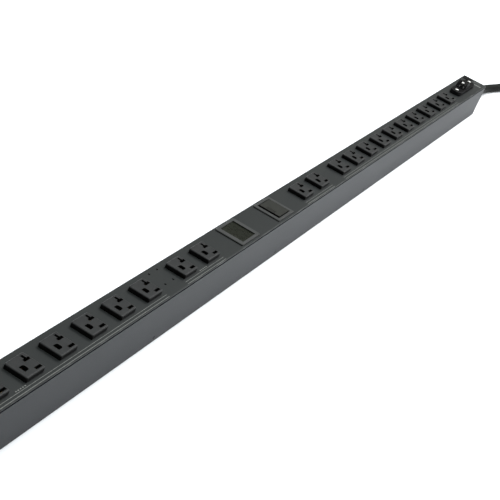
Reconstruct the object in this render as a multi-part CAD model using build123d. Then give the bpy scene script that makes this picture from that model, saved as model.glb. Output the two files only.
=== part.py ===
"""Vertical rack power strip: 24 grounded 20 A outlets in two banks, a meter, a breaker bay and a cord.

The strip lies on its back. X runs along it with the cord at +X, Z is up out of the outlet face,
and the origin is on the surface under the middle of the housing. All sizes are in millimetres.
"""

from build123d import *
import math
import os

os.makedirs("parts", exist_ok=True)

# Housing
LENGTH = 1683.0
WIDTH = 43.0
DEPTH = 56.0
WALL = 1.5
COVER_T = 1.5
COVER_EDGE_R = 1.1
COVER_SEAM = 2.2
FLANGE_T = 1.2
FLANGE_H = 8.0
CAP_T = 2.0
CAP_LIP = 6.0
CAP_PLAY = 0.2
CAP_SCREW_Y = (-13.0, 13.0)
CAP_SCREW_Z = 8.0
CAP_SCREW_R = 1.5
CAP_HEAD_R = 2.8
CAP_HEAD_H = 1.5
LUG_L = 8.0
LUG_W = 36.0
LUG_TOP = 13.0
EDGE_R = 0.8

# Outlets, counted from the cord end
PITCH = 52.3
GROUP_GAP = 75.4
INNER_OUTLET = 131.35
OUTLETS_IN_ROW = 10
BANK_MID_X = -60.0
OUTLET_L = 27.7
OUTLET_W = 25.4
OUTLET_H = 5.4
OUTLET_SHIFT_Y = -0.4
OUTLET_ROOF = 2.6
OUTLET_WALL = 1.4
OUTLET_NECK = 0.85
OUTLET_DEPTH = 20.0
OUTLET_CORNER = 1.5
OUTLET_EDGE = 1.3

# Slots of a grounded 20 A outlet (blade lines 12.7 apart, ground 11.9 from their line)
BLADE_SPACING = 12.7
GROUND_OFFSET = 11.9
BLADE_LINE_X = 7.6
BLADE_MID_Y = -2.3
SLOT_LONG = 8.8
SLOT_WIDE = 3.2
T_STEM = 4.6
GROUND_W = 7.2
GROUND_BACK = 3.7
GROUND_FRONT = 2.9
GROUND_CORNER = 2.4

# Bus bars and their carrier
BAR_H = 8.0
BAR_Z = 22.0
LEAF_T = 0.7
BLADE_GAP = 1.5
PIN_GAP = 4.4
LEAF_SEAT = 1.5
LEAF_LONG = 6.4
LEAF_TOP = 57.0
CARRIER_W = 36.0
CARRIER_Z = 17.0
CARRIER_X = (-815.0, 695.0)
BAR_FREE_END_X = 690.0
BAR_START_X = -805.0
BANK_GAP = 40.0
RIB_T = 8.0
RIB_STEP = 299.4
RIB_FIRST_X = -603.0
RIBS = 5
SIDE_SCREW_Z = 6.0
SIDE_SCREW_L = 9.0

# Raised windows between the banks
METER_X = -107.0
BAY_X = -9.3
METER_BEZEL_L = 46.0
BAY_BEZEL_L = 43.0
BEZEL_W = 37.0
BEZEL_H = 1.8
BEZEL_CORNER = 1.5
BEZEL_CHAMFER = 0.6
OPENING_L = 32.0
OPENING_W = 30.4
MODULE_L = 40.0
MODULE_W = 33.6
MODULE_BOTTOM = 31.0
MODULE_FLOOR = 33.0
MODULE_CEILING = 52.0
MODULE_CAVITY_L = 37.0
MODULE_CAVITY_W = 30.6
LEDGE = 1.5
LENS_T = 1.6
LENS_DROP = 1.2
BOARD_Z = 44.0
BOARD_T = 1.6
DIGIT_L = 8.6
DIGIT_PITCH = 9.2
DIGIT_W = 14.0
DIGIT_TOP = 54.0

# Bay door
DOOR_T = 2.8
DOOR_PROUD = 0.5
DOOR_GAP = 0.35
DOOR_SIDE_GAP = 1.1
FINGER_GAP = 3.6
DOOR_PIN_R = 0.6
DOOR_PIN_L = 2.1
PIN_CLEAR = 0.06

# Branch breakers inside the bay
BRANCH_Y = 7.4
BRANCH_W = 13.6
BRANCH_L = 34.0
BRANCH_TOP = 47.0
ROCKER_R = 8.5
ROCKER_W = 8.6
ROCKER_Z = 44.0
ROCKER_FACE = 4.5
ROCKER_DISH_R = 40.0
ROCKER_DISH = 0.5
ROCKER_CLEAR = 0.35
ROCKER_TILT = 10.0
ROCKER_PIN_R = 1.0
ROCKER_PIN_L = 1.2

# Main breaker beside the cord end
MAIN_X = 759.0
MAIN_L = 88.0
MAIN_W = 20.0
MAIN_H = 6.5
MAIN_CORNER = 8.5
MAIN_CASE_L = 62.0
MAIN_CASE_W = 19.0
MAIN_CASE_BOTTOM = 12.0
MAIN_SCREW_X = 35.5
SCREW_HEAD_R = 3.0
SCREW_HEAD_H = 2.0
SCREW_HEAD_EDGE = 0.9
SCREW_SLOT_L = 3.4
SCREW_SLOT_W = 0.7
SCREW_TIP = 3.0
SCREW_R = 1.7
GUARD_X = 756.0
GUARD_R = 13.0
GUARD_TOP = 16.0
GUARD_T = 2.2
GUARD_Y = 7.4
GUARD_BASE_L = 30.0
GUARD_BASE_T = 1.2
GUARD_SLOT_L = 15.0
GUARD_SLOT_W = 9.6
TOGGLE_X = 753.0
TOGGLE_Z = 57.0
TOGGLE_HUB_R = 7.0
TOGGLE_HUB_W = 7.4
TOGGLE_CLEAR = 0.35
TOGGLE_LEN = 15.0
TOGGLE_W = 5.6
TOGGLE_T = 4.4
TOGGLE_TIP_T = 3.4
TOGGLE_TILT = 20.0
TOGGLE_TIP_R = 1.2
TOGGLE_PIN_R = 1.5
TOGGLE_PIN_L = 1.5

# Small holes beside the second outlet group
SMALL_HOLE_X = -277.0
SMALL_HOLE_Y = 4.4
SMALL_HOLE_DX = 16.5
SMALL_HOLE_DY = 20.2
SMALL_HOLE_R = 1.4

# Mounting inserts in the back wall
INSERT_X = (-775.0, -725.0, 725.0, 775.0)
INSERT_R = 4.0
INSERT_BORE_R = 2.5
INSERT_L = 9.0
INSERT_FLANGE_R = 6.0
INSERT_FLANGE_T = 1.0

# Inside wiring and earthing
BLOCK_X = (700.0, 714.0)
BLOCK_Y = (-13.0, 8.0)
BLOCK_TOP = 38.0
WIRE_R = 2.2
FEED_Y = 11.0
FEED_Z = 26.8
FEED_END_X = 0.0
SENSOR_X = 60.0
SENSOR_R = 4.8
SENSOR_L = 7.0
STUD_X = 810.0
STUD_Y = -12.0
STUD_R = 2.5
STUD_TOP = 14.0
NUT_R = 4.6
NUT_H = 4.0

# Cord, gland and boot; the cord's bends share out each run evenly
CORD_R = 7.0
EXIT_Z = 28.0
GLAND_R = 14.0
GLAND_L = 8.0
GLAND_EDGE = 2.0
GLAND_NECK_R = 10.0
GLAND_NECK_L = 7.0
GLAND_NUT_R = 13.0
GLAND_NUT_T = 5.0
GLAND_BORE_L = 4.0
BOOT_L = 16.0
BOOT_R0 = 10.5
BOOT_R1 = 8.4
ARC_SHARE = 0.45
CORD_ROUTE = [
    (845.5, 0.0, 28.0),
    (867.0, 0.0, 28.0),
    (912.0, 1.0, 19.5),
    (955.0, 3.0, 11.8),
    (990.0, 3.5, 7.2),
    (1035.0, -11.0, 7.0),
    (1082.0, -22.0, 7.0),
    (1132.0, -16.0, 7.0),
    (1176.0, 14.0, 7.0),
    (1223.5, 14.0, 7.0),
]

# The put-away length: a long coil, two turns wide and two high, with two ties
HANK_X = 1326.5
HANK_Y = -42.0
HANK_R = 63.0
HANK_STRAIGHT = 206.0
HANK_TURNS = 2
HANK_H = 28.0
HANK_EDGE = 6.0
TIE_L = 16.0
TIE_T = 1.5

# Locking plug lying inside the coil
TAIL_ROUTE = [
    (1429.0, -84.0, 7.0),
    (1400.0, -84.0, 7.0),
    (1366.0, -72.0, 10.5),
    (1331.0, -51.0, 17.0),
    (1297.0, -42.0, 19.0),
    (1272.0, -42.0, 19.0),
]
PLUG_COLLAR_R = 12.5
PLUG_COLLAR_L = 18.0
PLUG_R = 19.0
PLUG_L = 42.0
PLUG_EDGE = 2.5
PLUG_BLADE_R = 10.5
PLUG_BLADE_T = 1.6
PLUG_BLADE_L = 15.0
PLUG_BLADE_W = 8.0
PLUG_BLADES = 3

TOP = DEPTH
COVER_UNDER = DEPTH - COVER_T
WALL_TOP = COVER_UNDER - COVER_SEAM
HALF = LENGTH / 2
BODY_HALF = HALF - CAP_T
INNER_Y = WIDTH / 2 - WALL
DOOR_HINGE_X = BAY_X + OPENING_L / 2 - DOOR_GAP - DOOR_T / 2
DOOR_HINGE_Z = TOP + BEZEL_H + DOOR_PROUD - DOOR_T / 2
DOOR_HALF_W = OPENING_W / 2 - DOOR_SIDE_GAP


def box(x0, x1, y0, y1, z0, z1):
    """A box from its lowest and highest corners."""
    centre = ((x0 + x1) / 2, (y0 + y1) / 2, (z0 + z1) / 2)
    return Pos(*centre) * Box(x1 - x0, y1 - y0, z1 - z0)


def block(x, y, length, width, z0, z1):
    """A box centred on (x, y) between two heights."""
    return box(x - length / 2, x + length / 2, y - width / 2, y + width / 2, z0, z1)


def post(x, y, radius, z0, z1):
    """An upright cylinder between two heights."""
    return Pos(x, y, (z0 + z1) / 2) * Cylinder(radius, z1 - z0)


def rod_x(x0, x1, y, z, radius):
    """A cylinder along X."""
    return Pos((x0 + x1) / 2, y, z) * Rot(0, 90, 0) * Cylinder(radius, x1 - x0)


def rod_y(x, y0, y1, z, radius):
    """A cylinder along Y."""
    return Pos(x, (y0 + y1) / 2, z) * Rot(90, 0, 0) * Cylinder(radius, y1 - y0)


def rounded_block(x, y, length, width, z0, z1, corner, top_edge):
    """A block with rounded upright corners and a rounded rim on top."""
    solid = block(x, y, length, width, z0, z1)
    solid = fillet(solid.edges().filter_by(Axis.Z), corner)
    return fillet(solid.faces().sort_by(Axis.Z)[-1].edges(), top_edge)


def save(name, shape):
    """Writes one sub-part under its name."""
    shape.label = name
    export_step(shape, f"parts/{name}.step")


def outlet_positions():
    """The middles of the outlets, from the far end of bank 2 to the cord end of bank 1."""
    steps = [INNER_OUTLET, INNER_OUTLET + PITCH]
    first_of_row = steps[-1] + GROUP_GAP
    steps += [first_of_row + i * PITCH for i in range(OUTLETS_IN_ROW)]
    return sorted([BANK_MID_X + s for s in steps] + [BANK_MID_X - s for s in steps])


OUTLET_XS = outlet_positions()
BANK_1_XS = [x for x in OUTLET_XS if x > BANK_MID_X]
BANK_2_XS = [x for x in OUTLET_XS if x < BANK_MID_X]
RIB_XS = [RIB_FIRST_X + i * RIB_STEP for i in range(RIBS)]
NECK_L = OUTLET_L - 2 * OUTLET_NECK
NECK_W = OUTLET_W - 2 * OUTLET_NECK
LINE_Y = OUTLET_SHIFT_Y + BLADE_MID_Y - BLADE_SPACING / 2
NEUTRAL_Y = OUTLET_SHIFT_Y + BLADE_MID_Y + BLADE_SPACING / 2
GROUND_Y = OUTLET_SHIFT_Y + BLADE_MID_Y
GROUND_DX = BLADE_LINE_X - GROUND_OFFSET
BANK_1_START = BANK_MID_X + BANK_GAP
BANK_2_END = BANK_MID_X - BANK_GAP


def housing_channel():
    """The folded steel channel, open to the front, with a welded lug for the cap screws at each end."""
    channel = box(-BODY_HALF, BODY_HALF, -WIDTH / 2, WIDTH / 2, 0, WALL_TOP)
    channel = fillet(channel.edges().filter_by(Axis.X).group_by(Axis.Z)[0], EDGE_R)
    channel -= box(-BODY_HALF, BODY_HALF, -INNER_Y, INNER_Y, WALL, WALL_TOP)
    for x in INSERT_X:
        channel -= post(x, 0, INSERT_R, 0, WALL)
    for x in RIB_XS:
        channel -= rod_y(x, -WIDTH / 2, WIDTH / 2, SIDE_SCREW_Z, SCREW_R)
    for side in (-1, 1):
        x = side * (BODY_HALF - CAP_LIP - CAP_PLAY - LUG_L / 2)
        lug = block(x, 0, LUG_L, LUG_W, WALL, LUG_TOP)
        for y in CAP_SCREW_Y:
            lug -= rod_x(x - LUG_L / 2, x + LUG_L / 2, y, CAP_SCREW_Z, CAP_SCREW_R)
        channel += lug
    return channel


def front_cover():
    """The outlet face: a plate across both side walls, with flanges folded down inside them."""
    plate = box(-BODY_HALF, BODY_HALF, -WIDTH / 2, WIDTH / 2, COVER_UNDER, TOP)
    plate = fillet(plate.edges().filter_by(Axis.X).group_by(Axis.Z)[-1], COVER_EDGE_R)
    for side in (-1, 1):
        y = side * (INNER_Y - FLANGE_T / 2)
        plate += block(0, y, 2 * BODY_HALF, FLANGE_T, COVER_UNDER - FLANGE_H, COVER_UNDER)
    for x in OUTLET_XS:
        plate -= block(x, OUTLET_SHIFT_Y, NECK_L, NECK_W, COVER_UNDER, TOP)
    for x in (METER_X, BAY_X):
        plate -= block(x, 0, MODULE_L, MODULE_W, COVER_UNDER, TOP)
    plate -= block(MAIN_X, 0, MAIN_CASE_L, MAIN_CASE_W, COVER_UNDER, TOP)
    for side in (-1, 1):
        plate -= post(MAIN_X + side * MAIN_SCREW_X, 0, SCREW_R, COVER_UNDER, TOP)
    for dx in (-SMALL_HOLE_DX / 2, SMALL_HOLE_DX / 2):
        for dy in (-SMALL_HOLE_DY / 2, SMALL_HOLE_DY / 2):
            plate -= post(SMALL_HOLE_X + dx, SMALL_HOLE_Y + dy, SMALL_HOLE_R, COVER_UNDER, TOP)
    return plate


def end_cap(side):
    """A cap on one end, with a lip inside the channel and countersunk screw holes."""
    outer = side * HALF
    inner = side * BODY_HALF
    lip_end = side * (BODY_HALF - CAP_LIP)
    cap = box(min(outer, inner), max(outer, inner), -WIDTH / 2, WIDTH / 2, 0, TOP)
    cap = fillet(cap.edges().filter_by(Axis.X), EDGE_R)
    lip_y = INNER_Y - FLANGE_T - CAP_PLAY
    lip = box(min(inner, lip_end), max(inner, lip_end), -lip_y, lip_y, WALL, COVER_UNDER - CAP_PLAY)
    lip -= box(
        min(inner, lip_end),
        max(inner, lip_end),
        -lip_y + CAP_T,
        lip_y - CAP_T,
        WALL + CAP_T,
        COVER_UNDER - CAP_T,
    )
    cap += lip
    for y in CAP_SCREW_Y:
        cap -= rod_x(min(outer, inner), max(outer, inner), y, CAP_SCREW_Z, CAP_SCREW_R)
        cap -= cap_screw_head(side, y)
    if side > 0:
        cap -= rod_x(inner, outer, 0, EXIT_Z, GLAND_NECK_R)
    return cap


def cap_screw_head(side, y):
    """The cone of a countersunk head, flush with the cap."""
    cone = Cone(CAP_SCREW_R, CAP_HEAD_R, CAP_HEAD_H)
    x = side * (HALF - CAP_HEAD_H / 2)
    return Pos(x, y, CAP_SCREW_Z) * Rot(0, side * 90, 0) * cone


def end_cap_screws():
    """Two countersunk screws in each cap."""
    screws = []
    for side in (-1, 1):
        tip = side * (BODY_HALF - CAP_LIP - LUG_L)
        for y in CAP_SCREW_Y:
            head_base = side * (HALF - CAP_HEAD_H)
            shank = rod_x(min(tip, head_base), max(tip, head_base), y, CAP_SCREW_Z, CAP_SCREW_R)
            screws.append(shank + cap_screw_head(side, y))
    return Compound(children=screws)


def outlet(x):
    """One outlet: a raised face with its slots, a neck through the cover and a hollow body below."""
    y = OUTLET_SHIFT_Y
    face = rounded_block(x, y, OUTLET_L, OUTLET_W, TOP, TOP + OUTLET_H, OUTLET_CORNER, OUTLET_EDGE)
    body = block(x, y, NECK_L, NECK_W, TOP - OUTLET_DEPTH, TOP)
    solid = face + body
    solid -= block(
        x,
        y,
        NECK_L - 2 * OUTLET_WALL,
        NECK_W - 2 * OUTLET_WALL,
        TOP - OUTLET_DEPTH,
        TOP + OUTLET_H - OUTLET_ROOF,
    )
    blade_x = x + BLADE_LINE_X
    z0 = TOP
    z1 = TOP + OUTLET_H
    solid -= block(blade_x, LINE_Y, SLOT_LONG, SLOT_WIDE, z0, z1)
    solid -= block(blade_x, NEUTRAL_Y, SLOT_LONG, SLOT_WIDE, z0, z1)
    solid -= box(
        blade_x - SLOT_WIDE / 2,
        blade_x + SLOT_WIDE / 2,
        NEUTRAL_Y,
        NEUTRAL_Y + SLOT_WIDE / 2 + T_STEM,
        z0,
        z1,
    )
    ground_x = blade_x - GROUND_OFFSET
    y0 = GROUND_Y - GROUND_W / 2
    y1 = GROUND_Y + GROUND_W / 2
    hole = box(ground_x - GROUND_BACK, ground_x + GROUND_FRONT, y0, y1, z0, z1)
    solid -= fillet(hole.edges().filter_by(Axis.Z).group_by(Axis.X)[-1], GROUND_CORNER)
    return solid


def bus_bar(y, x0, x1, outlet_xs, contact_dx, gap):
    """A bar with one pair of spring leaves standing under a slot of each outlet."""
    bar = block((x0 + x1) / 2, y, x1 - x0, gap + LEAF_SEAT, BAR_Z, BAR_Z + BAR_H)
    leaf_y = (gap + LEAF_T) / 2
    leaves = []
    for x in outlet_xs:
        for side in (-1, 1):
            leaf = block(x + contact_dx, y + side * leaf_y, LEAF_LONG, LEAF_T, BAR_Z + BAR_H, LEAF_TOP)
            leaves.append(leaf)
    return bar.fuse(*leaves)


def line_bars():
    """The live bar of each bank."""
    bank_1 = bus_bar(LINE_Y, BANK_1_START, BAR_FREE_END_X, BANK_1_XS, BLADE_LINE_X, BLADE_GAP)
    bank_2 = bus_bar(LINE_Y, BAR_START_X, BANK_2_END, BANK_2_XS, BLADE_LINE_X, BLADE_GAP)
    return Compound(children=[bank_1, bank_2])


def bus_carrier():
    """The insulating tray under the bars, on ribs that reach both side walls."""
    tray = box(CARRIER_X[0], CARRIER_X[1], -CARRIER_W / 2, CARRIER_W / 2, CARRIER_Z, BAR_Z)
    for x in RIB_XS:
        rib = block(x, 0, RIB_T, 2 * INNER_Y, WALL, CARRIER_Z)
        for side in (-1, 1):
            end = side * (INNER_Y - SIDE_SCREW_L)
            rib -= rod_y(x, min(side * INNER_Y, end), max(side * INNER_Y, end), SIDE_SCREW_Z, SCREW_R)
        tray += rib
    return tray


def side_screws():
    """Flush screws through the side walls into the carrier's ribs."""
    screws = []
    for x in RIB_XS:
        for side in (-1, 1):
            end = side * (INNER_Y - SIDE_SCREW_L)
            outer = side * WIDTH / 2
            screws.append(rod_y(x, min(outer, end), max(outer, end), SIDE_SCREW_Z, SCREW_R))
    return Compound(children=screws)


def window_module(x, bezel_l):
    """A raised bezel with its neck through the cover and a hollow case behind it."""
    flange = block(x, 0, bezel_l, BEZEL_W, TOP, TOP + BEZEL_H)
    flange = fillet(flange.edges().filter_by(Axis.Z), BEZEL_CORNER)
    flange = chamfer(flange.faces().sort_by(Axis.Z)[-1].edges(), BEZEL_CHAMFER)
    module = flange + block(x, 0, MODULE_L, MODULE_W, MODULE_BOTTOM, TOP)
    module -= block(x, 0, MODULE_CAVITY_L, MODULE_CAVITY_W, MODULE_FLOOR, MODULE_CEILING)
    return module


def meter_case():
    """The meter's bezel and case, with a ledge that the lens sits on."""
    case = window_module(METER_X, METER_BEZEL_L)
    lens_seat = TOP + BEZEL_H - LENS_DROP - LENS_T
    case -= block(METER_X, 0, OPENING_L, OPENING_W, lens_seat, TOP + BEZEL_H)
    case -= block(METER_X, 0, OPENING_L - 2 * LEDGE, OPENING_W - 2 * LEDGE, MODULE_CEILING, lens_seat)
    return case


def meter_lens():
    """The smoked window of the meter."""
    top = TOP + BEZEL_H - LENS_DROP
    return block(METER_X, 0, OPENING_L, OPENING_W, top - LENS_T, top)


def meter_board():
    """The meter's circuit board."""
    return block(METER_X, 0, MODULE_CAVITY_L, MODULE_CAVITY_W, BOARD_Z, BOARD_Z + BOARD_T)


def meter_display():
    """The three-digit display on the board, one body for each digit."""
    digits = []
    for i in (-1, 0, 1):
        x = METER_X + i * DIGIT_PITCH
        digits.append(block(x, 0, DIGIT_L, DIGIT_W, BOARD_Z + BOARD_T, DIGIT_TOP))
    return Compound(children=digits)


def bay_housing():
    """The breaker bay: a bezel with a door opening, pin holes and a case for the two breakers."""
    bay = window_module(BAY_X, BAY_BEZEL_L)
    bay -= block(BAY_X, 0, OPENING_L, OPENING_W, MODULE_CEILING, TOP + BEZEL_H)
    reach = DOOR_HALF_W + DOOR_PIN_L + PIN_CLEAR
    return bay - rod_y(DOOR_HINGE_X, -reach, reach, DOOR_HINGE_Z, DOOR_PIN_R + PIN_CLEAR)


def bay_door():
    """The bay's hinged cover, with a round hinge edge and a stub pin at each side."""
    free_edge = BAY_X - OPENING_L / 2 + FINGER_GAP
    z0 = DOOR_HINGE_Z - DOOR_T / 2
    z1 = DOOR_HINGE_Z + DOOR_T / 2
    door = box(free_edge, DOOR_HINGE_X, -DOOR_HALF_W, DOOR_HALF_W, z0, z1)
    door += rod_y(DOOR_HINGE_X, -DOOR_HALF_W, DOOR_HALF_W, DOOR_HINGE_Z, DOOR_T / 2)
    reach = DOOR_HALF_W + DOOR_PIN_L
    return door + rod_y(DOOR_HINGE_X, -reach, reach, DOOR_HINGE_Z, DOOR_PIN_R)


def branch_breakers():
    """One breaker for each bank: a case with a round well for its rocker."""
    cases = []
    for side in (-1, 1):
        y = side * BRANCH_Y
        case = block(BAY_X, y, BRANCH_L, BRANCH_W, MODULE_FLOOR, BRANCH_TOP)
        half = ROCKER_W / 2 + ROCKER_CLEAR
        case -= rod_y(BAY_X, y - half, y + half, ROCKER_Z, ROCKER_R + ROCKER_CLEAR)
        reach = ROCKER_W / 2 + ROCKER_PIN_L + PIN_CLEAR
        case -= rod_y(BAY_X, y - reach, y + reach, ROCKER_Z, ROCKER_PIN_R + PIN_CLEAR)
        cases.append(case)
    return Compound(children=cases)


def branch_rocker(side):
    """A rocker: a disc cut flat and slightly dished on top, tilted to its on position."""
    y = side * BRANCH_Y
    rocker = rod_y(0, -ROCKER_W / 2, ROCKER_W / 2, 0, ROCKER_R)
    rocker -= box(-ROCKER_R, ROCKER_R, -ROCKER_W, ROCKER_W, ROCKER_FACE, ROCKER_R)
    dish_z = ROCKER_FACE + ROCKER_DISH_R - ROCKER_DISH
    rocker -= rod_y(0, -ROCKER_W, ROCKER_W, dish_z, ROCKER_DISH_R)
    reach = ROCKER_W / 2 + ROCKER_PIN_L
    rocker += rod_y(0, -reach, reach, 0, ROCKER_PIN_R)
    return Pos(BAY_X, y, ROCKER_Z) * Rot(0, -ROCKER_TILT, 0) * rocker


def main_breaker_case():
    """The main breaker: a raised bezel on the cover, a case behind it and a well for the toggle."""
    bezel = rounded_block(MAIN_X, 0, MAIN_L, MAIN_W, TOP, TOP + MAIN_H, MAIN_CORNER, EDGE_R)
    case = bezel + block(MAIN_X, 0, MAIN_CASE_L, MAIN_CASE_W, MAIN_CASE_BOTTOM, TOP)
    half = TOGGLE_HUB_W / 2 + TOGGLE_CLEAR
    case -= rod_y(TOGGLE_X, -half, half, TOGGLE_Z, TOGGLE_HUB_R + TOGGLE_CLEAR)
    reach = TOGGLE_HUB_W / 2 + TOGGLE_PIN_L + PIN_CLEAR
    case -= rod_y(TOGGLE_X, -reach, reach, TOGGLE_Z, TOGGLE_PIN_R + PIN_CLEAR)
    for side in (-1, 1):
        case -= post(MAIN_X + side * MAIN_SCREW_X, 0, SCREW_R, TOP, TOP + MAIN_H)
    return case


def main_breaker_guard():
    """Two round ears on one base, either side of the toggle."""
    z0 = TOP + MAIN_H
    base = block(GUARD_X, 0, GUARD_BASE_L, 2 * GUARD_Y + GUARD_T, z0, z0 + GUARD_BASE_T)
    base = fillet(base.edges().filter_by(Axis.Z), GUARD_T)
    base -= block(TOGGLE_X, 0, GUARD_SLOT_L, GUARD_SLOT_W, z0, z0 + GUARD_BASE_T)
    centre_z = TOP + GUARD_TOP - GUARD_R
    for side in (-1, 1):
        y0 = side * GUARD_Y - GUARD_T / 2
        y1 = side * GUARD_Y + GUARD_T / 2
        ear = rod_y(GUARD_X, y0, y1, centre_z, GUARD_R)
        ear -= box(GUARD_X - GUARD_R, GUARD_X + GUARD_R, y0, y1, centre_z - GUARD_R, z0)
        base += ear
    return base


def main_breaker_toggle():
    """The toggle: a hub with side pins and a tapered handle, tilted to its on position."""
    toggle = rod_y(0, -TOGGLE_HUB_W / 2, TOGGLE_HUB_W / 2, 0, TOGGLE_HUB_R)
    reach = TOGGLE_HUB_W / 2 + TOGGLE_PIN_L
    toggle += rod_y(0, -reach, reach, 0, TOGGLE_PIN_R)
    profile = Polyline(
        (-TOGGLE_T / 2, 0),
        (TOGGLE_T / 2, 0),
        (TOGGLE_TIP_T / 2, TOGGLE_LEN),
        (-TOGGLE_TIP_T / 2, TOGGLE_LEN),
        close=True,
    )
    handle = extrude(Plane.XZ * make_face(profile), amount=TOGGLE_W / 2, both=True)
    tip = handle.edges().group_by(Axis.Z)[-1]
    toggle += fillet(tip, TOGGLE_TIP_R)
    return Pos(TOGGLE_X, 0, TOGGLE_Z) * Rot(0, -TOGGLE_TILT, 0) * toggle


def main_breaker_screws():
    """Two pan-head screws that hold the main breaker to the cover."""
    screws = []
    for side in (-1, 1):
        x = MAIN_X + side * MAIN_SCREW_X
        z0 = TOP + MAIN_H
        head = post(x, 0, SCREW_HEAD_R, z0, z0 + SCREW_HEAD_H)
        head = fillet(head.faces().sort_by(Axis.Z)[-1].edges(), SCREW_HEAD_EDGE)
        slot = block(x, 0, SCREW_SLOT_L, SCREW_SLOT_W, z0 + SCREW_HEAD_H - SCREW_SLOT_W, z0 + SCREW_HEAD_H)
        cross = block(x, 0, SCREW_SLOT_W, SCREW_SLOT_L, z0 + SCREW_HEAD_H - SCREW_SLOT_W, z0 + SCREW_HEAD_H)
        screws.append(head + post(x, 0, SCREW_R, COVER_UNDER - SCREW_TIP, z0) - slot - cross)
    return Compound(children=screws)


def mount_inserts():
    """Threaded inserts in the back wall for mounting buttons or brackets."""
    inserts = []
    for x in INSERT_X:
        insert = post(x, 0, INSERT_R, 0, INSERT_L)
        insert += post(x, 0, INSERT_FLANGE_R, WALL, WALL + INSERT_FLANGE_T)
        inserts.append(insert - post(x, 0, INSERT_BORE_R, 0, INSERT_L))
    return Compound(children=inserts)


def terminal_block():
    """The block beside the bars where the cord's wires end."""
    return box(BLOCK_X[0], BLOCK_X[1], BLOCK_Y[0], BLOCK_Y[1], WALL, BLOCK_TOP)


def ground_stud():
    """The earthing stud on the back wall and its nut, as two solids."""
    z0 = STUD_TOP - NUT_H - STUD_R
    nut = Pos(STUD_X, STUD_Y, z0) * extrude(RegularPolygon(NUT_R, 6), NUT_H)
    nut -= post(STUD_X, STUD_Y, STUD_R, z0, z0 + NUT_H)
    return Compound(children=[post(STUD_X, STUD_Y, STUD_R, WALL, STUD_TOP), nut])


def tube(points, radius):
    """A round tube whose straight runs are joined by the largest arcs that fit them all."""
    runs = [Vector(*b) - Vector(*a) for a, b in zip(points, points[1:])]
    radii = []
    for before, after in zip(runs, runs[1:]):
        half_turn = math.radians(before.get_angle(after)) / 2
        radii.append(ARC_SHARE * min(before.length, after.length) / math.tan(half_turn))
    path = FilletPolyline(*points, radius=radii)
    section = Plane(origin=path @ 0, z_dir=path % 0) * Circle(radius)
    solid = sweep(section, path=path)
    share = solid.volume / (math.pi * radius**2 * path.length)
    rounded_radii = [round(r) for r in radii]
    print("bend radii", rounded_radii, "length", round(path.length), "volume share", round(share, 3))
    return solid


def feed_wire():
    """The live wire from the main breaker to the breaker bay, above the tray."""
    return rod_x(FEED_END_X, MAIN_X - MAIN_CASE_L / 2, FEED_Y, FEED_Z, WIRE_R)


def current_sensor():
    """The meter's ring around the live wire."""
    ring = block(SENSOR_X, FEED_Y, SENSOR_L, 2 * SENSOR_R, BAR_Z, FEED_Z + SENSOR_R)
    return ring - rod_x(SENSOR_X - SENSOR_L, SENSOR_X + SENSOR_L, FEED_Y, FEED_Z, WIRE_R)


def cord_gland():
    """The cord's gland: a rounded collar outside the cap and a neck through it."""
    collar = rod_x(HALF, HALF + GLAND_L, 0, EXIT_Z, GLAND_R)
    collar = fillet(collar.faces().sort_by(Axis.X)[-1].edges(), GLAND_EDGE)
    gland = collar + rod_x(HALF - GLAND_NECK_L, HALF, 0, EXIT_Z, GLAND_NECK_R)
    return gland - rod_x(HALF + GLAND_L - GLAND_BORE_L, HALF + GLAND_L, 0, EXIT_Z, CORD_R)


def gland_nut():
    """The gland's locknut, against the cap's inner face."""
    nut = Plane.YZ * RegularPolygon(GLAND_NUT_R, 6)
    nut = Pos(BODY_HALF - GLAND_NUT_T, 0, EXIT_Z) * extrude(nut, GLAND_NUT_T)
    return nut - rod_x(BODY_HALF - GLAND_NUT_T, BODY_HALF, 0, EXIT_Z, GLAND_NECK_R)


def strain_relief():
    """The tapered sleeve where the cord leaves the gland."""
    sleeve = Cone(BOOT_R0, BOOT_R1, BOOT_L)
    sleeve = Pos(HALF + GLAND_L + BOOT_L / 2, 0, EXIT_Z) * Rot(0, 90, 0) * sleeve
    return sleeve - rod_x(HALF + GLAND_L, HALF + GLAND_L + BOOT_L, 0, EXIT_Z, CORD_R)


def racetrack(radius, z0, z1):
    """The coil's long oval between two heights."""
    outline = SlotCenterToCenter(HANK_STRAIGHT, 2 * radius)
    return Pos(HANK_X, HANK_Y, z0) * extrude(outline, z1 - z0)


def tie_section(side, inset):
    """A box around one side of the coil, as wide as a tie and smaller all round by an inset."""
    low = HANK_R - 2 * HANK_TURNS * CORD_R
    y0 = HANK_Y + side * (low + inset)
    y1 = HANK_Y + side * (HANK_R - inset)
    x0 = HANK_X - TIE_L / 2
    return box(x0, x0 + TIE_L, min(y0, y1), max(y0, y1), inset, HANK_H - inset)


def hank_ties():
    """A hook-and-loop tie around each side of the coil, pulled in flush with it."""
    return Compound(children=[tie_section(side, 0) - tie_section(side, TIE_T) for side in (-1, 1)])


def cord_hank():
    """The put-away length as one solid, with a seat for each tie."""
    hank = racetrack(HANK_R, 0, HANK_H)
    hank = fillet(hank.edges().filter_by(Axis.Z, reverse=True), HANK_EDGE)
    hank -= racetrack(HANK_R - 2 * HANK_TURNS * CORD_R, 0, HANK_H)
    for side in (-1, 1):
        hank -= tie_section(side, 0) - tie_section(side, TIE_T)
    return hank


def plug_body():
    """The locking plug's body and cord collar, lying inside the coil."""
    x, y, z = TAIL_ROUTE[-1]
    body_x = x - PLUG_COLLAR_L
    collar = rod_x(body_x, x, y, z, PLUG_COLLAR_R)
    body = rod_x(body_x - PLUG_L, body_x, y, z, PLUG_R)
    body = fillet(body.edges().filter_by(GeomType.CIRCLE), PLUG_EDGE)
    return collar + body


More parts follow.
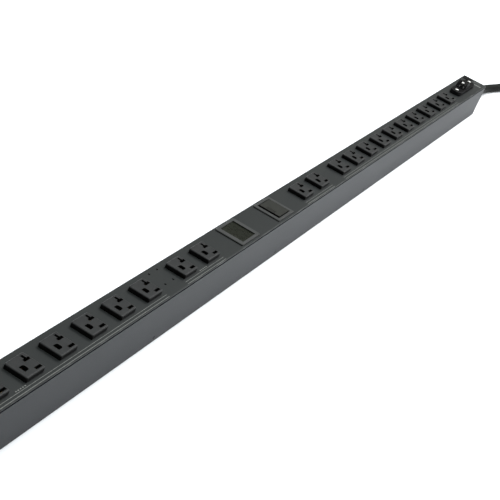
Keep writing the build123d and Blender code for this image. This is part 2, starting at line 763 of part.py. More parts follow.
def plug_blades():
    """The plug's curved blades, in a ring on its face."""
    x, y, z = TAIL_ROUTE[-1]
    face_x = x - PLUG_COLLAR_L - PLUG_L
    tip_x = face_x - PLUG_BLADE_L
    ring = rod_x(tip_x, face_x, y, z, PLUG_BLADE_R) - rod_x(tip_x, face_x, y, z, PLUG_BLADE_R - PLUG_BLADE_T)
    blades = []
    for i in range(PLUG_BLADES):
        sector = box(tip_x, face_x, y - PLUG_BLADE_W / 2, y + PLUG_BLADE_W / 2, z, z + PLUG_BLADE_R)
        turned = sector.rotate(Axis((x, y, z), (1, 0, 0)), i * 360 / PLUG_BLADES)
        blades.append(ring & turned)
    return Compound(children=blades)


save("housing_channel", housing_channel())
save("front_cover", front_cover())
save("end_cap_near", end_cap(-1))
save("end_cap_cord", end_cap(1))
save("end_cap_screws", end_cap_screws())
for number, outlet_x in enumerate(reversed(OUTLET_XS), 1):
    save(f"outlet_{number:02d}", outlet(outlet_x))
save("line_bars", line_bars())
save("neutral_bar", bus_bar(NEUTRAL_Y, BAR_START_X, BLOCK_X[0], OUTLET_XS, BLADE_LINE_X, BLADE_GAP))
save("ground_bar", bus_bar(GROUND_Y, BAR_START_X, BLOCK_X[0], OUTLET_XS, GROUND_DX, PIN_GAP))
save("bar_carrier", bus_carrier())
save("side_screws", side_screws())
save("meter_case", meter_case())
save("meter_lens", meter_lens())
save("meter_board", meter_board())
save("meter_display", meter_display())
save("bay_housing", bay_housing())
save("bay_door", bay_door())
save("branch_breakers", branch_breakers())
for number, side in enumerate((1, -1), 1):
    save(f"branch_rocker_{number}", branch_rocker(side))
save("main_breaker", main_breaker_case())
save("main_breaker_guard", main_breaker_guard())
save("main_toggle", main_breaker_toggle())
save("main_breaker_screws", main_breaker_screws())
save("mount_inserts", mount_inserts())
save("terminal_block", terminal_block())
save("feed_wire", feed_wire())
save("current_sensor", current_sensor())
save("ground_stud", ground_stud())
save("cord_gland", cord_gland())
save("gland_nut", gland_nut())
save("strain_relief", strain_relief())
save("power_cord", Compound(children=[tube(CORD_ROUTE, CORD_R), tube(TAIL_ROUTE, CORD_R)]))
save("cord_hank", cord_hank())
save("hank_ties", hank_ties())
save("plug_body", plug_body())
save("plug_blades", plug_blades())
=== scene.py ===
import math

import bmesh
import bpy
from mathutils import Matrix, Vector


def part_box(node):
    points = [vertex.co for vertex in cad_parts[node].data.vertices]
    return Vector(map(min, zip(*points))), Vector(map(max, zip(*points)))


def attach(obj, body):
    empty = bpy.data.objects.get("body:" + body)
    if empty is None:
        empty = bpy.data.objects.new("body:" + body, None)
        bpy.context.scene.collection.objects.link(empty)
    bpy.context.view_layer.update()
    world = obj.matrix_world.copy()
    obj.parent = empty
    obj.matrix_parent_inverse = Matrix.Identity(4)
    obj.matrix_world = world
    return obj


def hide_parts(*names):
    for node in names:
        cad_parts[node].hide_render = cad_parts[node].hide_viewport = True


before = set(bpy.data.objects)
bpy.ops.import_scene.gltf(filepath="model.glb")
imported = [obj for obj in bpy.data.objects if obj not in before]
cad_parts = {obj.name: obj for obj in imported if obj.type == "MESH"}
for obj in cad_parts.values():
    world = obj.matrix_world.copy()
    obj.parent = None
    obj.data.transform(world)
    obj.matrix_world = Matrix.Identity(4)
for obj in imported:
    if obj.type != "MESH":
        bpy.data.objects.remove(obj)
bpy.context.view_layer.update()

# The housing and the outlets, in metres
TOP = 0.056
HALF_LENGTH = 0.8415
HALF_WIDTH = 0.0215
OUTLETS = [f"outlet_{number:02d}" for number in range(1, 25)]

# Every drawn piece: its gap to the face that it lies on, its bevel, and how finely its round parts are drawn
PLAY = 0.00003
THIN_BEVEL = 0.0001
FINE_BEVEL = 0.0002
CLAMP_BEVEL = 0.0003
BROAD_BEVEL = 0.0004
BEVEL_SEGMENTS = 2
SHARP_ANGLE = math.radians(38)
RING_STEPS = 48
RIB_STEPS = 8
BUNDLE_STEPS = 8
SCREW_STEPS = 20
MARK_STEPS = 24

# The camera: a long lens above the near end, looking along the strip
LENS_MM = 95.8
NEAR_CLIP = 0.05
CAMERA_AT = (-1.3904, -0.3965, 0.7207)
CAMERA_RIGHT = (0.427, -0.835, 0.348)
CAMERA_UP = (0.289, 0.491, 0.822)
CAMERA_BACK = (-0.857, -0.250, 0.451)

# The studio
HORIZON_LIGHT = 0.08
SKY_LIGHT = 2.8
SKY_RISE = 3.0
GLOW_LIGHT = 1.2
GLOW_TOP = 0.16
LOW_SKY = (1.0, 0.97, 0.86)
HIGH_SKY = (0.97, 1.0, 1.0)
SKY_TINT_BAND = (0.30, 0.60)
SUN_LIGHT = 1.35
SUN_SPREAD = math.radians(28)
SUN_TURN = (0.0, math.radians(38), math.radians(-2))
SOFTBOX_AT = (3.0, -1.4, 1.5)
SOFTBOX_AIM = (0.3, 0.0, 0.03)
SOFTBOX_SIZE = (1.4, 0.9)
SOFTBOX_POWER = 18.0
OVERHEAD_AT = (0.45, -0.45, 1.2)
OVERHEAD_SIZE = 0.9
OVERHEAD_POWER = 7.0
FLOOR_HALF = 30.0
FLOOR_CORNERS = ((-1, -1), (1, -1), (1, 1), (-1, 1))
FLOOR_DROP = 0.0005

# The cord: its route out of the strip, then a coil two turns wide and two high, then the tail into the plug
CORD_DIAMETER = 0.014
CORD_EXIT = (0.8455, 0.0, 0.028)
CORD_ROUTE = [
    CORD_EXIT,
    (0.867, 0.0, 0.028),
    (0.912, 0.001, 0.0195),
    (0.955, 0.003, 0.0118),
    (0.990, 0.0035, 0.0072),
    (1.035, -0.011, 0.007),
    (1.082, -0.022, 0.007),
    (1.132, -0.016, 0.007),
    (1.176, 0.014, 0.007),
    (1.2235, 0.014, 0.007),
]
TAIL_ROUTE = [
    (1.429, -0.084, 0.007),
    (1.400, -0.084, 0.007),
    (1.366, -0.072, 0.0105),
    (1.331, -0.051, 0.017),
    (1.297, -0.042, 0.019),
    (1.272, -0.042, 0.019),
]
COIL_X = 1.3265
COIL_Y = -0.042
COIL_STRAIGHT = 0.206
OUTER_R = 0.056
INNER_R = 0.042
LOW_Z = 0.007
HIGH_Z = 0.021
END_STEPS = 8
SIDE_STEPS = 4
END_FAN = 0.002
RISE_SHARES = (0.5, 1.0)
NARROW_SHARES = (0.0, 0.5)
SINK_SHARES = (0.4, 0.9)
TIE_LIFT = 0.0026
TIE_PULL = 0.0022
SPLINE_ORDER = 3
SPLINE_STEPS = 6
COVER_STEPS = 6

# The ties round the coil's two sides
TIE_W = 0.016
TIE_T = 0.0014
TIE_PLAY = 0.0002
TIE_RAISE = 0.0019
TIE_SHIFT = 0.0016
TIE_CORNER = TIE_T * 0.45
TONGUE_L = 0.012
TONGUE_T = 0.0011
TONGUE_INSET = 0.0006
TONGUE_CORNER = 0.0030

# Printed lines, a painted highlight line along the cover's rounded edge, label bar and plate on the cover
PRINT_T = 0.00006
# The first pale line is print; the second, near the cover's edge, is a painted highlight of the rounded edge.
PRINT_AND_HIGHLIGHT_LINES_Y = ((-0.0169, -0.0164), (-0.0203, -0.0197))
EDGE_LINE_MARGIN = 0.018
EDGE_LINE_CORNER = 0.0001
GROUP_BREAK = 0.070
TICK_XS = (-0.552, -0.218)
TICK_COUNT = 5
TICK_STEP = 0.0034
TICK_SIZE = (0.0018, 0.0012)
PRINT_CORNER = 0.0002
LABEL_X = (0.8165, 0.8205)
LABEL_Y = (-0.018, -0.0026)
LABEL_CORNER = 0.0008
NOTE_XS = (0.8275, 0.8310, 0.8345)
NOTE_Y = (-0.014, 0.0)
NOTE_W = 0.0007
PLATE_X = (0.8225, 0.8365)
PLATE_Y = (0.003, 0.0185)
PLATE_T = 0.0008
PLATE_CORNER = 0.0012

# Screw drives: the recess of a screw's head, as a thin dark inlay that is painted shade in place of the
# hollow
DRIVE_L = 0.0028
DRIVE_W = 0.0007
DRIVE_CORNER = DRIVE_W / 2 * 0.6
FIRST_SIDE_SCREW = -0.603
SIDE_SCREW_STEP = 0.2994
SIDE_SCREW_COUNT = 5
SIDE_SCREW_Z = 0.006
CAP_SCREW_YS = (-0.013, 0.013)
CAP_SCREW_Z = 0.008

# Sleeve, gland and plug
CORD_Z = 0.028
SLEEVE_X = 0.8495
SLEEVE_L = 0.016
SLEEVE_R = (0.0105, 0.0084)
SLEEVE_RIBS = 5
FIRST_RIB = 0.6
RIB_H = 0.0007
RIB_W = 0.0011
GLAND_R = 0.014
GLAND_L = 0.008
GLAND_FLUTES = 18
FLUTE_SPAN = (0.12, 0.72)
FLUTE_W = 0.0013
FLUTE_H = 0.0005
FLUTE_CORNER = FLUTE_H * 0.8
PLUG_X = (1.212, 1.254)
PLUG_R = 0.019
PLUG_Y = -0.042
PLUG_Z = 0.019
PLUG_RIBS = 20
PLUG_RIB_W = 0.0018
PLUG_RIB_H = 0.0007
PLUG_RIB_CORNER = PLUG_RIB_H * 0.8
PLUG_RIB_MARGIN = 0.006
PLUG_FLAT = math.radians(40)
PLUG_RIM = ((-0.0008, 0.0128), (-0.0008, 0.0152), (0.0004, 0.0156), (0.0004, 0.0124))
PLUG_HUB = ((-0.0010, 0.0020), (-0.0010, 0.0042), (0.0004, 0.0046), (0.0004, 0.0016))
COLLAR_R = 0.0125
CLAMP_X = 1.263
CLAMP_W = 0.006
CLAMP_T = 0.0012
CLAMP_SINK = 0.0004
CLAMP_SCREW_R = 0.0019
CLAMP_SCREW_Y = 0.006
CLAMP_SCREW_Z = 0.0105
CLAMP_SCREW_RISE = 0.0030

# Meter, bay door, rockers and toggle
METER_X = -0.107
DIGIT_PITCH = 0.0092
DIGIT_TOP = 0.054
SEGMENT_L = 0.0046
SEGMENT_W = 0.0009
SEGMENT_T = 0.0002
SEGMENT_GAP = SEGMENT_W * 0.7
SEGMENT_CORNER = SEGMENT_W / 2 * 0.8
DIGIT_NAMES = ("left", "middle", "right")
DOOR_TOP = 0.0583
DOOR_RIB_XS = (-0.0195, -0.0175, -0.0155)
DOOR_RIB_HALF = 0.0065
DOOR_RIB_W = 0.0007
DOOR_RIB_H = 0.0002
DOOR_RIB_CORNER = DOOR_RIB_W * 0.4
ROCKER_X = -0.0093
ROCKER_Z = 0.044
ROCKER_Y = 0.0074
ROCKER_TILT = math.radians(-10)
ROCKER_DISH = (0.0440, 0.040)
MARK_REACH = 0.0052
MARK_T = 0.00015
BAR_MARK_HALF = (0.0003, 0.0013)
BAR_MARK_CORNER = 0.0002
RING_MARK_R = (0.0009, 0.0013)
TOGGLE_X = 0.753
TOGGLE_Z = 0.057
TOGGLE_TILT = math.radians(-20)
GRIP_HEIGHTS = (0.0095, 0.0110, 0.0125)
GRIP_HALF_T = 0.00185
GRIP_W = 0.0007
GRIP_L = 0.0046
GRIP_RISE = 0.0002
GRIP_CORNER = GRIP_W * 0.3
INSERT_HALF = (0.0016, 0.0019)
INSERT_CORNER = 0.0007
INSERT_TOP = 0.0150

# Patches and grain of every surface
PATCH_DETAIL = 5.0
PATCH_RANGE = (0.35, 0.65)
GRAIN_DETAIL = 3.0
GRAIN_RANGE = (0.3, 0.7)
GRAIN_H = 0.00002

# Paint rubbed paler at the housing's bottom edges, and a painted highlight along the cover's long edges: the
# patches, and per paint the axis, where the paler band starts and where it is full
RUB_SIZE = 0.006
RUB_DETAIL = 6.0
RUB_STRETCH = (0.35, 1, 1)
RUB_RANGE = (0.50, 0.66)
RUB_AND_HIGHLIGHT_COLOUR = (0.060, 0.063, 0.062)
RUBBED_AND_HIGHLIGHT_EDGES = {
    "housing_paint": [("Y", 0.0198, 0.0212), ("Z", 0.0016, 0.0004)],
    # On the cover the paler edge band is a painted highlight of its rounded edge.
    "cover_paint": [("Y", 0.0204, 0.0212)],
}

# Walls and slots, with painted shade: how far up a face looks where the top's texture starts and is full,
# then per material the painted shade colour of the walls and slots and their gloss
TOP_RANGE = (0.10, 0.45)
PAINTED_SHADE_SIDES = {
    "outlet_plastic": ((0.002, 0.002, 0.002), 0.34),
    "bezel_plastic": ((0.003, 0.003, 0.003), 0.35),
    "door_plastic": ((0.002, 0.002, 0.002), 0.40),
}

# Detail laid over single surfaces: the lens's grid, the board's tracks, the cord's dust, the ties' threads
GRID_STEP = 0.0021
GRID_RANGE = (0.86, 1.0)
GRID_SHARE = 0.55
GRID_COLOUR = (0.014, 0.016, 0.010)
TRACK_STEP = 0.0016
TRACK_WAVES = 1.5
TRACK_RANGE = (0.80, 0.92)
TRACK_COLOUR = (0.030, 0.130, 0.050)
RIPPLE_SIZE = 0.007
RIPPLE_DETAIL = 2.0
RIPPLE_H = 0.0003
DUST_SIZE = 0.004
DUST_DETAIL = 8.0
DUST_RANGE = (0.55, 0.75)
DUST_SHARE = 0.35
DUST_COLOUR = (0.018, 0.019, 0.017)
WARP_STEP = 0.0007
WARP_WAVES = 0.4
WEFT_STEP = 0.0009
WEFT_WAVES = 0.6
THREAD_RANGE = (0.3, 1.0)
THREAD_SHARE = 0.7
THREAD_COLOUR = (0.055, 0.055, 0.058)
THREAD_H = 0.00022

# Sockets of the colour mix node
MIX_FIRST = 6
MIX_SECOND = 7
MIX_RESULT = 2


def smooth(t):
    """An ease from 0 to 1."""
    t = min(max(t, 0.0), 1.0)
    return t * t * (3 - 2 * t)


def coil_end(side, radius, height):
    """The points round one end of the coil; radius and height follow a share of the half turn.

    They stand a little outside the turn, because the spline runs inside its points.
    """
    push = 1 / math.cos(math.pi / END_STEPS / 2)
    centre_x = COIL_X + side * COIL_STRAIGHT / 2
    start = math.pi / 2 if side > 0 else -math.pi / 2
    points = []
    for i in range(END_STEPS):
        share = (i + 0.5) / END_STEPS
        angle = start - math.pi * share
        reach = radius(share) * push
        points.append((centre_x + reach * math.cos(angle), COIL_Y + reach * math.sin(angle), height(share)))
    return points


def coil_side(side, radius, height):
    """The points along one straight side of the coil, lifted and pulled in a little by its tie."""
    points = []
    for i in range(1, SIDE_STEPS):
        share = i / SIDE_STEPS
        x = COIL_X + side * COIL_STRAIGHT * (share - 0.5)
        tied = 1.0 if share == 0.5 else 0.0
        y = COIL_Y + side * (radius - TIE_PULL * tied)
        points.append((x, y, height(share) + TIE_LIFT * tied))
    return points


def steady(value):
    """A size that stays the same along the cord."""
    return lambda share: value


def change(start, end, from_share, to_share):
    """A size that eases from one value to another between two shares of the way."""
    return lambda share: start + (end - start) * smooth((share - from_share) / (to_share - from_share))


def bulge(value, extra):
    """A size that swells by an extra halfway and comes back."""
    return lambda share: value + extra * math.sin(math.pi * share)


def coil_points():
    """An outer turn, a second on top of it, an inner turn beside that one, then half a turn below it."""
    low = steady(LOW_Z)
    high = steady(HIGH_Z)
    points = coil_side(1, OUTER_R, low) + coil_end(1, bulge(OUTER_R, END_FAN), low)
    points += coil_side(-1, OUTER_R, low) + coil_end(-1, steady(OUTER_R), change(LOW_Z, HIGH_Z, *RISE_SHARES))
    points += coil_side(1, OUTER_R, high) + coil_end(1, bulge(OUTER_R, END_FAN / 2), high)
    points += coil_side(-1, OUTER_R, high) + coil_end(-1, change(OUTER_R, INNER_R, *NARROW_SHARES), high)
    points += coil_side(1, INNER_R, high) + coil_end(1, bulge(INNER_R, -END_FAN), high)
    points += coil_side(-1, INNER_R, change(HIGH_Z, LOW_Z, *SINK_SHARES))
    points += coil_end(-1, bulge(INNER_R, -END_FAN / 2), low)
    points += coil_side(1, INNER_R, low) + coil_end(1, bulge(INNER_R, -END_FAN / 2), low)
    return points


def add_curve(name, points, radius):
    """A round cord along one open spline."""
    data = bpy.data.curves.new(name, "CURVE")
    data.dimensions = "3D"
    data.bevel_depth = radius
    data.bevel_resolution = COVER_STEPS
    data.resolution_u = SPLINE_STEPS
    spline = data.splines.new("NURBS")
    spline.points.add(len(points) - 1)
    for point, place in zip(spline.points, points):
        point.co = (*place, 1.0)
    spline.order_u = SPLINE_ORDER
    spline.use_endpoint_u = True
    obj = bpy.data.objects.new(name, data)
    bpy.context.scene.collection.objects.link(obj)
    return obj


def add_camera():
    """The camera at the photograph's place."""
    data = bpy.data.cameras.new("camera")
    data.lens = LENS_MM
    data.clip_start = NEAR_CLIP
    data.clip_end = 2 * FLOOR_HALF
    camera = bpy.data.objects.new("camera", data)
    axes = Matrix((CAMERA_RIGHT, CAMERA_UP, CAMERA_BACK)).transposed()
    camera.matrix_world = Matrix.Translation(CAMERA_AT) @ axes.to_4x4()
    bpy.context.scene.collection.objects.link(camera)
    bpy.context.scene.camera = camera


# ---- Materials -------------------------------------------------------------------------------


def object_place(tree, stretch):
    """The object's own coordinates, stretched along each axis."""
    place = tree.nodes.new("ShaderNodeTexCoord")
    mapping = tree.nodes.new("ShaderNodeMapping")
    mapping.inputs["Scale"].default_value = stretch
    tree.links.new(place.outputs["Object"], mapping.inputs["Vector"])
    return mapping.outputs["Vector"]


def add_noise(tree, size, detail, stretch=(1, 1, 1)):
    """Soft noise from 0 to 1 whose blobs have a size in metres."""
    node = tree.nodes.new("ShaderNodeTexNoise")
    node.inputs["Scale"].default_value = 1 / size
    node.inputs["Detail"].default_value = detail
    tree.links.new(object_place(tree, stretch), node.inputs["Vector"])
    return node.outputs["Fac"]


def add_bands(tree, size, axis, distortion=0.0):
    """Even bands across one axis, from 0 to 1, a size in metres apart."""
    node = tree.nodes.new("ShaderNodeTexWave")
    node.bands_direction = axis
    node.inputs["Scale"].default_value = math.pi / 10 / size
    node.inputs["Distortion"].default_value = distortion
    tree.links.new(object_place(tree, (1, 1, 1)), node.inputs["Vector"])
    return node.outputs["Fac"]


def add_range(tree, value, start, end, low, high):
    """A value between start and end, carried over to low and high."""
    node = tree.nodes.new("ShaderNodeMapRange")
    node.inputs["From Min"].default_value = start
    node.inputs["From Max"].default_value = end
    node.inputs["To Min"].default_value = low
    node.inputs["To Max"].default_value = high
    tree.links.new(value, node.inputs["Value"])
    return node.outputs["Result"]


def add_sum(tree, operation, first, second):
    """Two values joined by a sum, a product, a greatest or another operation."""
    node = tree.nodes.new("ShaderNodeMath")
    node.operation = operation
    tree.links.new(first, node.inputs[0])
    tree.links.new(second, node.inputs[1])
    return node.outputs["Value"]


def add_mix(tree, share, first, second):
    """A colour between two others, each a socket or three numbers."""
    node = tree.nodes.new("ShaderNodeMix")
    node.data_type = "RGBA"
    tree.links.new(share, node.inputs["Factor"])
    for index, colour in ((MIX_FIRST, first), (MIX_SECOND, second)):
        if isinstance(colour, tuple):
            node.inputs[index].default_value = (*colour, 1.0)
        else:
            tree.links.new(colour, node.inputs[index])
    return node.outputs[MIX_RESULT]


def add_height(tree, value, height, below=None):
    """A bump that is a height in metres, on top of another bump."""
    node = tree.nodes.new("ShaderNodeBump")
    node.inputs["Distance"].default_value = height
    tree.links.new(value, node.inputs["Height"])
    if below is not None:
        tree.links.new(below, node.inputs["Normal"])
    return node.outputs["Normal"]


def add_surface(name, dark, light, rough, patch, grain, height=GRAIN_H, stretch=(1, 1, 1), **fixed):
    """A surface with soft colour patches, uneven gloss and a fine grain.

    patch and grain are the sizes of the patches and the grain, rough is the lowest and the highest roughness,
    height is the grain's depth, and fixed are numbers on the shader's own sockets. Returns the material and
    the sockets that more detail can be laid over.
    """
    material = bpy.data.materials.new(name)
    material.use_nodes = True
    tree = material.node_tree
    shader = tree.nodes["Principled BSDF"]
    for socket, value in fixed.items():
        shader.inputs[socket.replace("_", " ")].default_value = value
    patches = add_range(tree, add_noise(tree, patch, PATCH_DETAIL, stretch), *PATCH_RANGE, 0.0, 1.0)
    colour = add_mix(tree, patches, dark, light)
    grains = add_noise(tree, grain, GRAIN_DETAIL, stretch)
    broad_gloss = add_range(tree, patches, 0, 1, rough[0], (rough[0] + rough[1]) / 2)
    fine_gloss = add_range(tree, grains, *GRAIN_RANGE, 0.0, (rough[1] - rough[0]) / 2)
    gloss = add_sum(tree, "ADD", broad_gloss, fine_gloss)
    normal = add_height(tree, grains, height)
    tree.links.new(colour, shader.inputs["Base Color"])
    tree.links.new(gloss, shader.inputs["Roughness"])
    tree.links.new(normal, shader.inputs["Normal"])
    return material, {"colour": colour, "gloss": gloss, "normal": normal}


def overlay(material, colour=None, gloss=None, normal=None):
    """Puts new colour, roughness or bump sockets on the material's shader."""
    tree = material.node_tree
    shader = tree.nodes["Principled BSDF"]
    for socket, name in ((colour, "Base Color"), (gloss, "Roughness"), (normal, "Normal")):
        if socket is not None:
            tree.links.new(socket, shader.inputs[name])


def add_edge_rub_and_highlight(material, sockets, limits):
    """Paint made paler in broken patches past every limit in a list of (axis, start, full): rubbed paint on
    the housing's bottom edges, a painted highlight along the cover's long edges.
    """
    tree = material.node_tree
    place = tree.nodes.new("ShaderNodeTexCoord")
    parts = tree.nodes.new("ShaderNodeSeparateXYZ")
    tree.links.new(place.outputs["Object"], parts.inputs["Vector"])
    share = add_range(tree, add_noise(tree, RUB_SIZE, RUB_DETAIL, RUB_STRETCH), *RUB_RANGE, 0.0, 1.0)
    for axis, start, full in limits:
        size = tree.nodes.new("ShaderNodeMath")
        size.operation = "ABSOLUTE"
        tree.links.new(parts.outputs[axis], size.inputs[0])
        near_edge = add_range(tree, size.outputs["Value"], start, full, 0.0, 1.0)
        share = add_sum(tree, "MULTIPLY", share, near_edge)
    overlay(material, colour=add_mix(tree, share, sockets["colour"], RUB_AND_HIGHLIGHT_COLOUR))


def add_painted_side_shade(material, sockets, colour, gloss):
    """A textured top with smoother walls and slots, told apart by the way the surface faces; the walls and
    slots get a darker colour that is painted shade.
    """
    tree = material.node_tree
    place = tree.nodes.new("ShaderNodeTexCoord")
    parts = tree.nodes.new("ShaderNodeSeparateXYZ")
    tree.links.new(place.outputs["Normal"], parts.inputs["Vector"])
    top = add_range(tree, parts.outputs["Z"], *TOP_RANGE, 0.0, 1.0)
    overlay(
        material,
        colour=add_mix(tree, top, colour, sockets["colour"]),
        gloss=add_mix(tree, top, (gloss, gloss, gloss), sockets["gloss"]),
    )


def add_grid(material, sockets):
    """A faint square grid in the lens."""
    tree = material.node_tree
    grid = add_sum(tree, "MAXIMUM", add_bands(tree, GRID_STEP, "X"), add_bands(tree, GRID_STEP, "Y"))
    lines = add_range(tree, grid, *GRID_RANGE, 0.0, GRID_SHARE)
    overlay(material, colour=add_mix(tree, lines, sockets["colour"], GRID_COLOUR))


def add_tracks(material, sockets):
    """Paler tracks under the board's lacquer."""
    tree = material.node_tree
    bands = add_bands(tree, TRACK_STEP, "DIAGONAL", TRACK_WAVES)
    tracks = add_range(tree, bands, *TRACK_RANGE, 0.0, 1.0)
    overlay(material, colour=add_mix(tree, tracks, sockets["colour"], TRACK_COLOUR))


def add_dust(material, sockets):
    """Patches of dust and soft ripples on the cord's cover."""
    tree = material.node_tree
    ripples = add_noise(tree, RIPPLE_SIZE, RIPPLE_DETAIL)
    dust = add_range(tree, add_noise(tree, DUST_SIZE, DUST_DETAIL), *DUST_RANGE, 0.0, DUST_SHARE)
    overlay(
        material,
        colour=add_mix(tree, dust, sockets["colour"], DUST_COLOUR),
        normal=add_height(tree, ripples, RIPPLE_H, sockets["normal"]),
    )


def add_weave(material, sockets):
    """Two sets of threads that cross, raised and paler where both are high."""
    tree = material.node_tree
    warp = add_bands(tree, WARP_STEP, "X", WARP_WAVES)
    weft = add_bands(tree, WEFT_STEP, "DIAGONAL", WEFT_WAVES)
    threads = add_sum(tree, "MULTIPLY", warp, weft)
    paler = add_range(tree, threads, *THREAD_RANGE, 0.0, THREAD_SHARE)
    overlay(
        material,
        colour=add_mix(tree, paler, sockets["colour"], THREAD_COLOUR),
        normal=add_height(tree, threads, THREAD_H, sockets["normal"]),
    )


LOOKS = {
    "housing_paint": dict(
        dark=(0.0115, 0.0130, 0.0162), light=(0.0140, 0.0156, 0.0190), rough=(0.40, 0.45),
        patch=0.30, grain=0.0009, height=0.00003, Specular_IOR_Level=0.102,
    ),
    "cover_paint": dict(
        dark=(0.0150, 0.0172, 0.0172), light=(0.0185, 0.0208, 0.0206), rough=(0.40, 0.45),
        patch=0.30, grain=0.0009, height=0.00003, Specular_IOR_Level=0.12,
    ),
    "outlet_plastic": dict(
        dark=(0.0140, 0.0150, 0.0155), light=(0.0180, 0.0190, 0.0195), rough=(0.36, 0.46),
        patch=0.010, grain=0.0004, height=0.000012, Specular_IOR_Level=0.15,
    ),
    "bezel_plastic": dict(
        dark=(0.0145, 0.0165, 0.0160), light=(0.0190, 0.0210, 0.0205), rough=(0.36, 0.46),
        patch=0.012, grain=0.0004, height=0.000015, Specular_IOR_Level=0.35,
    ),
    "door_plastic": dict(
        dark=(0.0160, 0.0170, 0.0145), light=(0.0200, 0.0210, 0.0180), rough=(0.46, 0.56),
        patch=0.010, grain=0.0006, height=0.00002, Specular_IOR_Level=0.08,
    ),
    "smoked_lens": dict(
        dark=(0.0060, 0.0072, 0.0045), light=(0.0085, 0.0100, 0.0065), rough=(0.24, 0.32),
        patch=0.007, grain=0.0010, height=0.000004, Specular_IOR_Level=0.08,
    ),
    "circuit_board": dict(
        dark=(0.008, 0.050, 0.022), light=(0.014, 0.070, 0.030), rough=(0.28, 0.40),
        patch=0.004, grain=0.0005, height=0.00001,
    ),
    "display": dict(
        dark=(0.030, 0.026, 0.024), light=(0.040, 0.034, 0.030), rough=(0.30, 0.42),
        patch=0.003, grain=0.0003,
    ),
    "breaker_plastic": dict(
        dark=(0.0040, 0.0040, 0.0045), light=(0.0065, 0.0065, 0.0070), rough=(0.30, 0.40),
        patch=0.008, grain=0.0004, height=0.000015, Specular_IOR_Level=0.03,
    ),
    "rocker_plastic": dict(
        dark=(0.010, 0.010, 0.010), light=(0.017, 0.017, 0.017), rough=(0.26, 0.38),
        patch=0.004, grain=0.0003, height=0.000008,
    ),
    "toggle_plastic": dict(
        dark=(0.010, 0.010, 0.010), light=(0.016, 0.016, 0.016), rough=(0.22, 0.34),
        patch=0.003, grain=0.0003, height=0.000006,
    ),
    "toggle_mark": dict(
        dark=(0.52, 0.52, 0.50), light=(0.62, 0.62, 0.60), rough=(0.30, 0.42),
        patch=0.002, grain=0.0003, height=0.000006,
    ),
    "bright_steel": dict(
        dark=(0.62, 0.62, 0.60), light=(0.78, 0.78, 0.76), rough=(0.20, 0.34),
        patch=0.002, grain=0.0003, height=0.000006, Metallic=1.0,
    ),
    "plated_steel": dict(
        dark=(0.42, 0.41, 0.37), light=(0.58, 0.57, 0.52), rough=(0.28, 0.44),
        patch=0.003, grain=0.0004, height=0.00001, Metallic=1.0,
    ),
    "dark_steel": dict(
        dark=(0.004, 0.004, 0.0045), light=(0.009, 0.009, 0.010), rough=(0.50, 0.65),
        patch=0.002, grain=0.0003, height=0.00001, Specular_IOR_Level=0.02,
    ),
    "bar_brass": dict(
        dark=(0.36, 0.22, 0.07), light=(0.60, 0.40, 0.15), rough=(0.26, 0.42),
        patch=0.006, grain=0.0004, height=0.00001, stretch=(0.1, 1, 1), Metallic=1.0,
    ),
    "insulator": dict(
        dark=(0.42, 0.40, 0.34), light=(0.52, 0.50, 0.43), rough=(0.42, 0.56),
        patch=0.010, grain=0.0006,
    ),
    "wire_cover": dict(
        dark=(0.010, 0.010, 0.010), light=(0.020, 0.020, 0.020), rough=(0.34, 0.46),
        patch=0.006, grain=0.0006, stretch=(0.1, 1, 1),
    ),
    "gland_plastic": dict(
        dark=(0.004, 0.004, 0.0045), light=(0.007, 0.007, 0.007), rough=(0.44, 0.58),
        patch=0.004, grain=0.0004, height=0.00002, Specular_IOR_Level=0.06,
    ),
    "cord_cover": dict(
        dark=(0.0055, 0.006, 0.0055), light=(0.010, 0.011, 0.0095), rough=(0.54, 0.66),
        patch=0.020, grain=0.0012, height=0.00003, Specular_IOR_Level=0.05,
    ),
    "tie_fabric": dict(
        dark=(0.010, 0.010, 0.011), light=(0.022, 0.022, 0.024), rough=(0.80, 0.95),
        patch=0.003, grain=0.0005, height=0.00010, Sheen_Weight=0.5, Sheen_Roughness=0.4,
    ),
    "plug_plastic": dict(
        dark=(0.012, 0.012, 0.012), light=(0.022, 0.022, 0.021), rough=(0.40, 0.54),
        patch=0.008, grain=0.0005, height=0.00003,
    ),
    "pale_ink_and_highlight": dict(
        dark=(0.070, 0.075, 0.070), light=(0.125, 0.130, 0.120), rough=(0.45, 0.60),
        patch=0.004, grain=0.0004, height=0.000006,
    ),
    "pale_floor": dict(
        dark=(0.89, 0.91, 0.935), light=(0.91, 0.93, 0.955), rough=(0.8, 0.9),
        patch=0.5, grain=0.002, height=0.0,
    ),
}


def make_materials():
    """Every material by its name, with the detail that some of them have on top."""
    made = {}
    sockets = {}
    for name, look in LOOKS.items():
        made[name], sockets[name] = add_surface(name, **look)
    for name, limits in RUBBED_AND_HIGHLIGHT_EDGES.items():
        add_edge_rub_and_highlight(made[name], sockets[name], limits)
    for name, (colour, gloss) in PAINTED_SHADE_SIDES.items():
        add_painted_side_shade(made[name], sockets[name], colour, gloss)
    add_grid(made["smoked_lens"], sockets["smoked_lens"])
    add_tracks(made["circuit_board"], sockets["circuit_board"])
    add_dust(made["cord_cover"], sockets["cord_cover"])
    add_weave(made["tie_fabric"], sockets["tie_fabric"])
    return made


